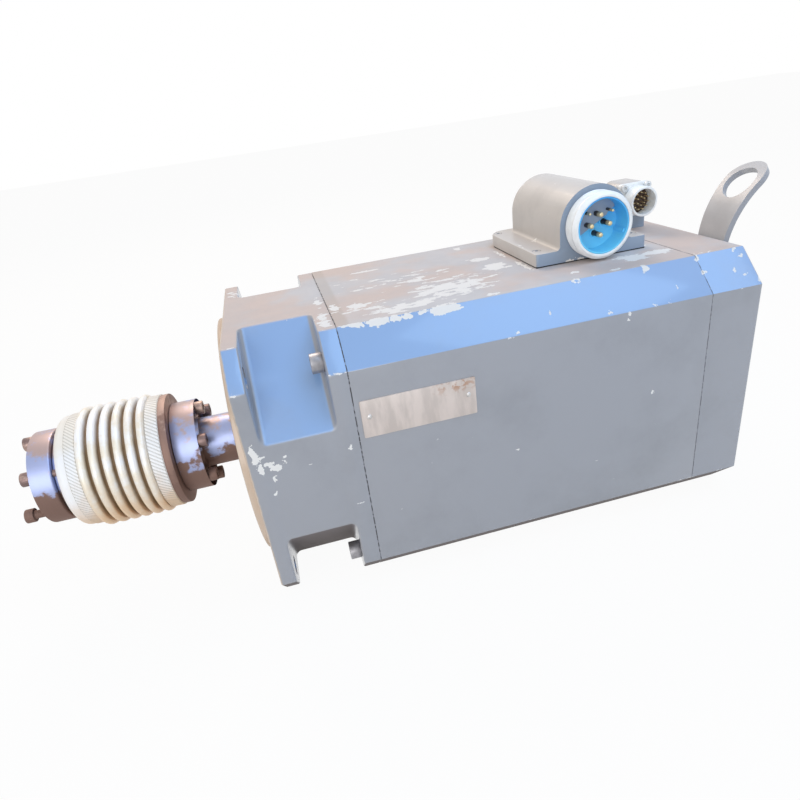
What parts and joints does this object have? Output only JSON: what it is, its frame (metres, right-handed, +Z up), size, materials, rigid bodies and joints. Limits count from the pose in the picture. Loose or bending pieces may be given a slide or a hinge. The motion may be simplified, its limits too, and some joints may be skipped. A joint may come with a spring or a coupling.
{
  "type": "synchronous servo motor",
  "caption": "Square-flanged permanent magnet servo motor with corner pockets, lifting strap, two connectors on top and a bellows coupling clamped on its shaft.",
  "frame": {"origin": "centre of the flange's mounting face, on the shaft axis", "axes": "+X out of the motor along the shaft, +Z up with the connectors on top, +Y out of the side that carries the nameplate"},
  "size_m": [0.5647, 0.1936, 0.2435],
  "materials": {
    "housing_paint": "painted with blue-grey enamel, scratched and chipped to the pale primer",
    "hood_paint": "painted with light grey enamel, chipped at its edges",
    "strap_paint": "blue-grey enamel on a bent flat bar",
    "nameplate_metal": "bare tarnished sheet",
    "rivet_metal": "dull",
    "screw_steel": "blackened, rusty",
    "oxidised_steel": "brown oxidised turned steel",
    "ring_metal": "off-white, knurled outside",
    "bellows_metal": "ivory tarnish with brown valleys",
    "lamination_steel": "stacked electrical sheet",
    "magnet": "coated magnet",
    "balance_brass": "turned",
    "copper_winding": "varnished copper",
    "bearing_steel": "ground",
    "seal_rubber": "matt",
    "bare_aluminium": "machined casting",
    "disc_plastic": "smooth",
    "shell_metal": "nickel plated",
    "blue_plastic": "bright blue moulding",
    "socket_plastic": "dark brown moulding",
    "contact_metal": "gilt, worn"
  },
  "bodies": {
    "motor": {"front_shield": "housing_paint", "bearing_retainer": "bare_aluminium", "retainer_screws": "screw_steel", "shield_screws": "screw_steel", "stator_housing": "housing_paint", "rear_shield": "bare_aluminium", "rear_shield_screws": "screw_steel", "rear_cover": "housing_paint", "cover_screws": "screw_steel", "lifting_strap": "strap_paint", "strap_screws": "screw_steel", "nameplate": "nameplate_metal", "nameplate_rivets": "rivet_metal", "stator_core": "lamination_steel", "stator_winding": "copper_winding", "front_bearing_outer_race": "bearing_steel", "rear_bearing_outer_race": "bearing_steel", "shaft_seal": "seal_rubber", "preload_spring": "bearing_steel", "encoder_body": "bare_aluminium", "encoder_screws": "screw_steel", "connector_gasket": "seal_rubber", "connector_hood": "hood_paint", "flange_screws": "screw_steel", "power_shell": "shell_metal", "power_insert": "blue_plastic", "power_pins": "contact_metal", "control_pins": "contact_metal", "signal_housing": "hood_paint", "signal_shell": "shell_metal", "signal_screws": "screw_steel", "signal_insert": "socket_plastic", "signal_pins": "contact_metal"},
    "rotor": {"shaft": "oxidised_steel", "retaining_ring": "oxidised_steel", "rotor_core": "lamination_steel", "rotor_magnets": "magnet", "balancing_rings": "balance_brass", "front_bearing_inner_race": "bearing_steel", "rear_bearing_inner_race": "bearing_steel", "encoder_disc": "disc_plastic", "motor_clamp_ring": "oxidised_steel", "motor_hub": "oxidised_steel", "motor_clamp_screws": "screw_steel", "motor_end_ring": "ring_metal", "bellows": "bellows_metal"},
    "driven_side": {"driven_end_ring": "ring_metal", "driven_hub": "oxidised_steel", "driven_clamp_ring": "oxidised_steel", "driven_clamp_screws": "screw_steel"},
    "front_ball_set": {"front_bearing_balls": "bearing_steel"},
    "rear_ball_set": {"rear_bearing_balls": "bearing_steel"}
  },
  "joints": [
    {"name": "rotor_spin", "type": "hinge", "parent": "motor", "child": "rotor", "pos_m": [0, 0, 0], "axis": [1, 0, 0], "continuous": true},
    {"name": "coupling_flex", "type": "hinge", "parent": "rotor", "child": "driven_side", "pos_m": [0.09295, 0, 0], "axis": [0, 0, 1], "range_deg": [-1.5, 1.5], "stiffness_Nm_per_rad": 100, "deforming": ["bellows"]},
    {"name": "front_balls_orbit", "type": "hinge", "parent": "motor", "child": "front_ball_set", "pos_m": [0, 0, 0], "axis": [1, 0, 0], "continuous": true},
    {"name": "rear_balls_orbit", "type": "hinge", "parent": "motor", "child": "rear_ball_set", "pos_m": [0, 0, 0], "axis": [1, 0, 0], "continuous": true}
  ],
  "couplings": [
    {"joint": "front_balls_orbit", "follows": "rotor_spin", "ratio": 0.40833},
    {"joint": "rear_balls_orbit", "follows": "rotor_spin", "ratio": 0.40654}
  ]
}
